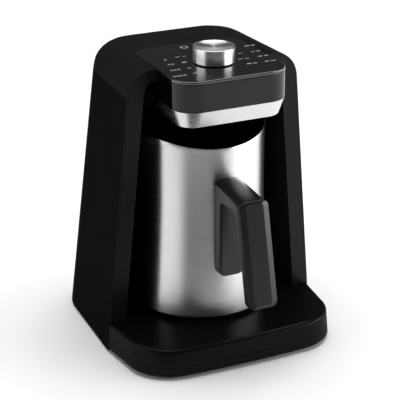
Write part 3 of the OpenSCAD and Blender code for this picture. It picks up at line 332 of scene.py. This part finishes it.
# merged copies of the mouldings, with softened edges
mouldings = {
    # node: (piece, finish, slot, edge radius)
    "body_shell": ("archShell", satinBlack, "satin_black", 0.0008),
    "niche_liner": ("alcoveLiner", shadedAlcoveBlack, "alcove_black", 0.0006),
    "base_tray": ("baseTop", baseBlack, "satin_black", 0.0007),
    "base_pan": ("basePan", baseBlack, "satin_black", 0.0003),
    "head_fascia": ("headFascia", glossBlack, "gloss_black", 0.0003),
    "top_panel": ("touchPanel", touchGlass, "gloss_black", 0.0002),
    "trim_band": ("trimBand", trimAluminium, "silver_trim", 0.0003),
}
mouldingSmooth = 28    # degrees between faces up to which the shading runs on
# a face is a column's front when it looks forward, lies in front of frontReach and stays below the
# panel's recess, and takes the painted sheen; it is a flat side when its normal's share along x passes
# sideShare, and takes the painted shade
columns = {"frontShare": -0.2, "frontReach": 0.03, "recess": 0.232, "sideShare": 0.985}


def paintColumnSheenAndShade(piece, hasSides):
    piece.data.materials.append(sheenFrontsBlack)
    piece.data.materials.append(shadedSidesBlack)
    # faces are sorted by the way they look: forward faces get the lit copy, flat sides the shaded copy
    for face in piece.data.polygons:
        ahead = face.normal.y < columns["frontShare"] and face.center.y < columns["frontReach"]
        if ahead and face.center.z < columns["recess"]:
            face.material_index = 1
        elif hasSides and abs(face.normal.x) > columns["sideShare"]:
            face.material_index = 2


for node, (pieceName, finish, slotName, edge) in mouldings.items():
    piece = cleanCopy(node)
    addBevel(piece, edge)
    smoothByAngle(piece, mouldingSmooth)
    weighFlats(piece)
    finishPiece(piece, pieceName, finish, "machine", slotName, node)
    if node in ("body_shell", "niche_liner"):
        paintColumnSheenAndShade(piece, node == "body_shell")

handleParts = {
    # node: (piece, edge radius, smooth up to this angle)
    "handle_grip": ("handleGrip", 0.0008, 34),
    "handle_cover": ("handleCover", 0.0003, 12),
}
handleEdge = {"segments": 3, "below": 4}    # edges this many degrees under the angle are rounded too
for node, (pieceName, edge, angle) in handleParts.items():
    piece = cleanCopy(node)
    addBevel(piece, edge, handleEdge["segments"], angle - handleEdge["below"])
    smoothByAngle(piece, angle)
    weighFlats(piece)
    finishPiece(piece, pieceName, handleBlack, "pot", "handle_black", node)
print("mouldings dressed")

# metres and degrees; heights count from the pot's foot
pot = {
    "axisY": 0.0042, "stand": 0.029, "neckRadius": 0.0538, "footRadius": 0.0577,
    "neckHeight": 0.098, "flare": 1.35, "rimHeight": 0.1456, "rimRise": 0.0068,
    "lipReach": 0.007, "lipDip": 0.005, "lipAngle": 26.0, "lipHeight": 0.026,
    "wall": 0.001, "footEdge": 0.002, "discRadius": 0.0491, "discDepth": 0.003,
    "around": 168, "footSteps": 6, "neckSteps": 14, "smooth": 40,
    "flareHeights": (0.012, 0.022, 0.034, 0.048, 0.062, 0.076, 0.088, 0.098),
    # (up, inward) over the rolled rim
    "rimRoll": ((0.00035, 0.00015), (0.0005, 0.0005), (0.00035, 0.00085)),
    # (up from the floor, height at which the wall is read, inward) round the inner corner
    "floorCorner": ((0.004, 0.008, 0.0), (0.001, 0.004, 0.0013), (0.0, 0.004, 0.0042)),
    "floorRadius": 0.03,
    # shares of a normal from which a face counts as inner wall or as inner floor
    "innerWall": -0.3, "innerFloor": 0.5, "floorInset": 0.002,
}


def lipShare(angle):
    off = min(abs(angle), abs(angle - 180), abs(angle - 360)) / pot["lipAngle"]
    return 0.0 if off >= 1 else (1 + math.cos(math.pi * off)) / 2


def rimAt(angle):
    return (pot["rimHeight"] + pot["rimRise"] * (1 + math.cos(2 * math.radians(angle))) / 2
            - pot["lipDip"] * lipShare(angle))


def potRadius(height):
    if height >= pot["neckHeight"]:
        return pot["neckRadius"]
    low = 1 - height / pot["neckHeight"]
    return pot["neckRadius"] + (pot["footRadius"] - pot["neckRadius"]) * low ** pot["flare"]


def potProfile():
    # (height, radius) up the outside, over the rolled rim and down the inside
    edge, wall, neck, top = pot["footEdge"], pot["wall"], pot["neckHeight"], pot["rimHeight"]
    foot = [(pot["discDepth"], pot["discRadius"]), (0.0, pot["discRadius"])]
    for i in range(pot["footSteps"] + 1):
        bend = math.pi / 2 * i / pot["footSteps"]
        height = edge * (1 - math.cos(bend))
        foot.append((height, potRadius(height) - edge * (1 - math.sin(bend))))
    outside = [(h, potRadius(h)) for h in pot["flareHeights"]]
    steps = [neck + (top - neck) * i / pot["neckSteps"] for i in range(1, pot["neckSteps"] + 1)]
    outside += [(h, pot["neckRadius"]) for h in steps]
    rim = [(top + up, pot["neckRadius"] - inward) for up, inward in pot["rimRoll"]]
    inside = [(h, r - wall) for h, r in reversed(outside)]
    inFloor = pot["discDepth"] + wall
    inside += [(inFloor + up, potRadius(at) - wall - inward) for up, at, inward in pot["floorCorner"]]
    inside.append((inFloor, pot["floorRadius"]))
    return foot + outside + rim + inside


def drawProfile(profile, centre, base):
    # in edit mode, with the first ring selected: draws it along the (height, radius) pairs
    x, y = centre
    for (h0, r0), (h1, r1) in zip(profile, profile[1:]):
        bpy.ops.mesh.extrude_edges_move(TRANSFORM_OT_translate={"value": (0, 0, h1 - h0)})
        bpy.ops.transform.resize(value=(r1 / r0, r1 / r0, 1), center_override=(x, y, base + h1))


def pullRim(piece):
    # the two pouring lips and the rim's swing are one smooth pull on the wall, so they move together
    neck, rim = pot["neckHeight"], pot["rimHeight"]
    for vertex in piece.data.vertices:
        x, y = vertex.co.x, vertex.co.y - pot["axisY"]
        height = vertex.co.z - pot["stand"]
        if height <= neck:
            continue
        angle = math.degrees(math.atan2(y, x)) % 360
        grown = neck + (height - neck) * (rimAt(angle) - neck) / (rim - neck)
        start = rim - pot["lipHeight"]
        up = max(0.0, (grown - start) / (rimAt(angle) - start))
        out = 1 + pot["lipReach"] * lipShare(angle) * up ** 2 / math.hypot(x, y)
        vertex.co = (x * out, pot["axisY"] + y * out, pot["stand"] + grown)


def darkenPotInside(piece):
    piece.data.materials.append(potInsideBlack)
    for face in piece.data.polygons:
        fromAxis = Vector((face.center.x, face.center.y - pot["axisY"], 0))
        inward = face.normal.dot(fromAxis.normalized()) < pot["innerWall"]
        aboveDisc = face.center.z > pot["stand"] + pot["discDepth"]
        onFloor = (face.normal.z > pot["innerFloor"]
                   and fromAxis.length < pot["neckRadius"] - pot["floorInset"])
        if inward and aboveDisc or onFloor:
            face.material_index = 1


def makePot():
    profile = potProfile()
    deselectAll()
    bpy.ops.mesh.primitive_circle_add(vertices=pot["around"], radius=profile[0][1],
                                      location=(0, pot["axisY"], pot["stand"] + profile[0][0]))
    piece = bpy.context.object
    placeInMesh(piece)
    bpy.ops.object.mode_set(mode="EDIT")
    bpy.ops.mesh.select_all(action="SELECT")
    bpy.ops.mesh.edge_face_add()       # roof of the recess that takes the spreader disc
    bpy.ops.mesh.select_mode(type="EDGE")
    bpy.ops.mesh.select_all(action="SELECT")
    drawProfile(profile, (0, pot["axisY"]), pot["stand"])
    bpy.ops.mesh.edge_face_add()       # floor of the pot
    bpy.ops.mesh.select_all(action="SELECT")
    bpy.ops.mesh.normals_make_consistent(inside=False)
    bpy.ops.object.mode_set(mode="OBJECT")
    pullRim(piece)
    smoothByAngle(piece, pot["smooth"])
    finishPiece(piece, "potBody", potSteel, "pot", "steel", "pot_body")
    darkenPotInside(piece)


makePot()
print("pot made")

# metres; the inside is hollow up to roof under the top
knob = {
    "axis": (0.0, -0.0237), "low": 0.2398, "radius": 0.0167, "height": 0.0123,
    "wall": 0.0015, "lowEdge": 0.0003, "edge": 0.0007, "edgeTurn": 0.3, "roof": 0.002,
    "dishRadius": 0.0145, "dish": 0.0005, "dishEdge": (0.0004, 0.0002, 0.0005), "middle": 0.0004,
    "around": 128, "smooth": 40,
}


def knobProfile():
    # (height, radius) round the lower edge, up the side and over the top into its shallow dish
    r, h, e, low = knob["radius"], knob["height"], knob["edge"], knob["lowEdge"]
    edgeOut, edgeDown, edgeIn = knob["dishEdge"]
    return [(0.0, r - knob["wall"]), (0.0, r - low), (low, r), (h - e, r),
            (h - e * knob["edgeTurn"], r - e * knob["edgeTurn"]), (h, r - e),
            (h, knob["dishRadius"] + edgeOut), (h - edgeDown, knob["dishRadius"]),
            (h - knob["dish"], knob["dishRadius"] - edgeIn), (h - knob["dish"], knob["middle"])]


def makeKnob():
    x, y = knob["axis"]
    profile = knobProfile()
    deselectAll()
    bpy.ops.mesh.primitive_circle_add(vertices=knob["around"], radius=profile[0][1],
                                      location=(x, y, knob["low"]))
    piece = bpy.context.object
    placeInMesh(piece)
    bpy.ops.object.mode_set(mode="EDIT")
    bpy.ops.mesh.select_mode(type="EDGE")
    bpy.ops.mesh.select_all(action="SELECT")
    drawProfile(profile, knob["axis"], knob["low"])
    bpy.ops.mesh.edge_face_add()       # middle of the dish
    selectOpenEdges()
    depth = knob["height"] - knob["roof"]
    bpy.ops.mesh.extrude_edges_move(TRANSFORM_OT_translate={"value": (0, 0, depth)})
    bpy.ops.mesh.edge_face_add()       # roof of the hollow
    bpy.ops.mesh.select_all(action="SELECT")
    bpy.ops.mesh.normals_make_consistent(inside=False)
    bpy.ops.object.mode_set(mode="OBJECT")
    smoothByAngle(piece, knob["smooth"])
    finishPiece(piece, "knobCap", knobAluminium, "knob", "knob_silver", "knob_cap")


makeKnob()
print("knob made")

# millimetres on the panel: x to the right, y to the back
marks = {
    "ink": 0.05, "sunk": 0.01, "around": 40, "cornerShare": 0.35, "cornerSteps": 3,
    # (x, y, radius, line) and (x, y, length, width)
    "power": (-5.2, 21.4, 3.3, 0.75), "powerTick": (-5.2, 23.6, 0.75, 2.6),
    # (number of cups, x, y) for each row, then a cup's step, radius and line
    "cups": [(1, -33.0, -3.0), (2, -34.0, -16.0), (3, -36.5, -30.3), (4, -39.5, -45.2)],
    "cupStep": 3.0, "cup": 0.95, "cupLine": 0.4,
    # the saucer's distance in front of its cup, length and width
    "saucer": (1.5, 2.2, 0.4),
    # (x, y, length, width)
    "bars": [(-21.0, -0.6, 4.4, 0.8), (-15.6, -1.2, 2.6, 0.8), (-22.0, -15.6, 4.2, 1.6),
             (-24.6, -31.0, 3.6, 0.8), (-26.0, -44.0, 3.2, 0.8), (42.8, 3.2, 4.6, 1.3),
             (48.2, 3.2, 3.6, 1.6), (39.8, -13.0, 3.6, 0.9), (44.6, -13.2, 3.0, 1.2),
             (28.5, -12.8, 4.2, 0.7), (39.6, -26.4, 4.2, 1.2), (44.8, -26.6, 3.4, 1.2),
             (22.0, -26.8, 4.6, 0.8), (27.4, -27.2, 3.6, 0.8), (22.6, -40.4, 4.0, 1.4),
             (27.6, -40.8, 3.6, 1.1), (38.2, -40.6, 3.8, 1.1), (43.6, -41.0, 4.4, 1.1)],
}
millimetre = 0.001


def printRing(x, y, radius, line):
    x, y, radius, line = (value * millimetre for value in (x, y, radius, line))
    bpy.ops.mesh.primitive_circle_add(vertices=marks["around"], radius=radius, fill_type="NGON",
                                      location=(x, y, 0))
    piece = bpy.context.object
    bpy.ops.object.mode_set(mode="EDIT")
    bpy.ops.mesh.select_all(action="SELECT")
    bpy.ops.mesh.inset(thickness=line)
    bpy.ops.mesh.delete(type="FACE")
    bpy.ops.object.mode_set(mode="OBJECT")
    return piece


def printBar(x, y, long, wide):
    x, y, long, wide = (value * millimetre for value in (x, y, long, wide))
    bpy.ops.mesh.primitive_plane_add(size=1, location=(x, y, 0))
    piece = bpy.context.object
    piece.scale = (long, wide, 1)
    bpy.ops.object.transform_apply(location=False, rotation=False, scale=True)
    pickOnly(piece)
    bpy.ops.object.mode_set(mode="EDIT")
    bpy.ops.mesh.select_all(action="SELECT")
    bpy.ops.mesh.bevel(offset=wide * marks["cornerShare"], segments=marks["cornerSteps"],
                       affect="VERTICES")
    bpy.ops.object.mode_set(mode="OBJECT")
    return piece


def makeMarks():
    deselectAll()
    prints = [printRing(*marks["power"]), printBar(*marks["powerTick"])]
    before, saucerLong, saucerWide = marks["saucer"]
    for count, x, y in marks["cups"]:
        for i in range(count):
            left = x + (i - (count - 1) / 2) * marks["cupStep"]
            prints.append(printRing(left, y, marks["cup"], marks["cupLine"]))
            prints.append(printBar(left, y - before, saucerLong, saucerWide))
    prints += [printBar(*bar) for bar in marks["bars"]]
    deselectAll()
    for piece in prints:
        piece.select_set(True)
    bpy.context.view_layer.objects.active = prints[0]
    bpy.ops.object.join()
    piece = bpy.context.object
    bpy.ops.object.mode_set(mode="EDIT")
    bpy.ops.mesh.select_all(action="SELECT")
    bpy.ops.mesh.extrude_region_move(
        TRANSFORM_OT_translate={"value": (0, 0, marks["ink"] * millimetre)})
    bpy.ops.mesh.select_all(action="SELECT")
    bpy.ops.mesh.normals_make_consistent(inside=False)
    bpy.ops.object.mode_set(mode="OBJECT")
    piece.location.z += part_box("top_panel")[1][2] - marks["sunk"] * millimetre
    placeInMesh(piece)
    finishPiece(piece, "panelMarks", whiteInk, "machine", "gloss_black")


makeMarks()
print("panel printed")

camera = {"place": (-0.4916, -1.0427, 0.5919), "tilt": 67.4, "turn": -25.2, "lens": 135.0, "sensor": 36.0}
turn = math.radians(camera["turn"])
bpy.ops.object.camera_add(location=camera["place"], rotation=(math.radians(camera["tilt"]), 0, turn))
view = bpy.context.object
view.data.lens = camera["lens"]
view.data.sensor_width = camera["sensor"]
bpy.context.scene.camera = view

table = {"size": 12.0, "white": "#fcfcfc"}
# a dark flag lies before the set as a painted reflection that gives the steel its dark band: only mirror
# rays see it
# its ends are metres ahead of the set, and its sides are cosines of the angle from its middle line
flag = {"size": 2.4, "above": 0.001, "cloth": "#2e2e2e", "toward": 19.0, "fanWide": 0.74,
        "fanFull": 0.93, "fanFrom": 0.15, "fanTo": 0.19, "endFrom": 0.36, "endTo": 0.66}


def paperFloor():
    # matt white paper: a plain ground that takes the shadow
    material, tree, output = newMaterial("mattPaper")
    shader = addNode(tree, "ShaderNodeBsdfDiffuse", {"Color": linear(table["white"])})
    tree.links.new(shader.outputs[0], output.inputs["Surface"])
    return material


def paintedReflectionCloth():
    # dark cloth that thins out to nothing at the flag's edges: a soft-edged painted reflection, seen only
    # in mirrors
    material, tree, output = newMaterial("paintedReflectionCloth")
    place = addNode(tree, "ShaderNodeTexCoord")
    side = math.radians(flag["toward"])
    ahead = addNode(tree, "ShaderNodeVectorMath", {1: (math.sin(turn), -math.cos(turn), 0)},
                    {0: place.outputs["Object"]}, operation="DOT_PRODUCT")
    past = addNode(tree, "ShaderNodeMapRange",
                   {"From Min": flag["fanFrom"], "From Max": flag["fanTo"]},
                   {"Value": ahead.outputs["Value"]}, interpolation_type="SMOOTHSTEP")
    near = addNode(tree, "ShaderNodeMapRange",
                   {"From Min": flag["endFrom"], "From Max": flag["endTo"], "To Min": 1.0, "To Max": 0.0},
                   {"Value": ahead.outputs["Value"]}, interpolation_type="SMOOTHSTEP")
    heading = addNode(tree, "ShaderNodeVectorMath", links={0: place.outputs["Object"]},
                      operation="NORMALIZE")
    along = addNode(tree, "ShaderNodeVectorMath", {1: (-math.sin(side), -math.cos(side), 0)},
                    {0: heading.outputs["Vector"]}, operation="DOT_PRODUCT")
    inFan = addNode(tree, "ShaderNodeMapRange",
                    {"From Min": flag["fanWide"], "From Max": flag["fanFull"]},
                    {"Value": along.outputs["Value"]}, interpolation_type="SMOOTHSTEP")
    strip = addNode(tree, "ShaderNodeMath",
                    links={0: past.outputs["Result"], 1: near.outputs["Result"]}, operation="MULTIPLY")
    fade = addNode(tree, "ShaderNodeMath",
                   links={0: strip.outputs[0], 1: inFan.outputs["Result"]}, operation="MULTIPLY")
    clear = addNode(tree, "ShaderNodeBsdfTransparent")
    cloth = addNode(tree, "ShaderNodeBsdfDiffuse", {"Color": linear(flag["cloth"])})
    shader = addNode(tree, "ShaderNodeMixShader",
                     links={0: fade.outputs[0], 1: clear.outputs[0], 2: cloth.outputs[0]})
    tree.links.new(shader.outputs[0], output.inputs["Surface"])
    return material


def layFlat(name, size, height, finish):
    deselectAll()
    bpy.ops.mesh.primitive_plane_add(size=size, location=(0, 0, height))
    sheet = bpy.context.object
    sheet.name = name
    placeInMesh(sheet)
    sheet.data.materials.append(finish)
    return sheet


floor = layFlat("floor", table["size"], 0, paperFloor())
blackFlag = layFlat("blackFlag", flag["size"], flag["above"], paintedReflectionCloth())
blackFlag.visible_camera = False
blackFlag.visible_shadow = False
blackFlag.visible_diffuse = False

# the room round the table is dim, with a pale wall behind the set; the wall is full below wallTop
# and gone above wallEnd, and runs in from wallSide to wallFull, all as parts of a unit direction
studio = {"wall": 0.7, "room": 0.06, "wallTop": 0.08, "wallEnd": 0.26, "wallSide": -0.1, "wallFull": 0.5}


def lightRoom():
    world = bpy.data.worlds.new("studio")
    bpy.context.scene.world = world
    world.use_nodes = True
    tree = world.node_tree
    tree.nodes.clear()
    output = addNode(tree, "ShaderNodeOutputWorld")
    toward = addNode(tree, "ShaderNodeTexCoord")
    axes = addNode(tree, "ShaderNodeSeparateXYZ", links={0: toward.outputs["Generated"]})
    height = addNode(tree, "ShaderNodeMath", links={0: axes.outputs["Z"]}, operation="ABSOLUTE")
    upWall = addNode(tree, "ShaderNodeMapRange",
                     {"From Min": studio["wallTop"], "From Max": studio["wallEnd"],
                      "To Min": 1.0, "To Max": 0.0},
                     {"Value": height.outputs[0]}, interpolation_type="SMOOTHSTEP")
    farSide = addNode(tree, "ShaderNodeVectorMath", {1: (-math.sin(turn), math.cos(turn), 0)},
                      {0: toward.outputs["Generated"]}, operation="DOT_PRODUCT")
    alongWall = addNode(tree, "ShaderNodeMapRange",
                        {"From Min": studio["wallSide"], "From Max": studio["wallFull"],
                         "To Min": 0.0, "To Max": studio["wall"] - studio["room"]},
                        {"Value": farSide.outputs["Value"]}, interpolation_type="SMOOTHSTEP")
    share = addNode(tree, "ShaderNodeMath",
                    links={0: upWall.outputs["Result"], 1: alongWall.outputs["Result"]},
                    operation="MULTIPLY")
    level = addNode(tree, "ShaderNodeMath", {1: studio["room"]}, {0: share.outputs[0]}, operation="ADD")
    room = addNode(tree, "ShaderNodeBackground", {"Color": linear("#ffffff")},
                   {"Strength": level.outputs[0]})
    tree.links.new(room.outputs[0], output.inputs["Surface"])


lightRoom()

lamps = {
    # name: (place, aim, width, height, watts, spread in degrees)
    "leftBox": ((-1.55, 0.35, 0.6), (0, 0, 0.12), 1.8, 0.9, 7, 150),
    "rightBox": ((1.42, -0.8, 0.4), (0, 0, 0.12), 1.6, 0.7, 14, 150),
    "topBox": ((0.25, 0.5, 2.0), (0.25, 0.5, 0.0), 2.2, 2.2, 38, 150),
}
for name, (place, aim, wide, high, watts, spread) in lamps.items():
    deselectAll()
    bpy.ops.object.light_add(type="AREA", location=place)
    lamp = bpy.context.object
    lamp.name = name
    lamp.rotation_euler = (Vector(aim) - Vector(place)).to_track_quat("-Z", "Y").to_euler()
    lamp.data.shape = "RECTANGLE"
    lamp.data.size = wide
    lamp.data.size_y = high
    lamp.data.energy = watts
    lamp.data.spread = math.radians(spread)
    lamp.visible_camera = False

bpy.context.scene.view_settings.view_transform = "Standard"
print("stage set")
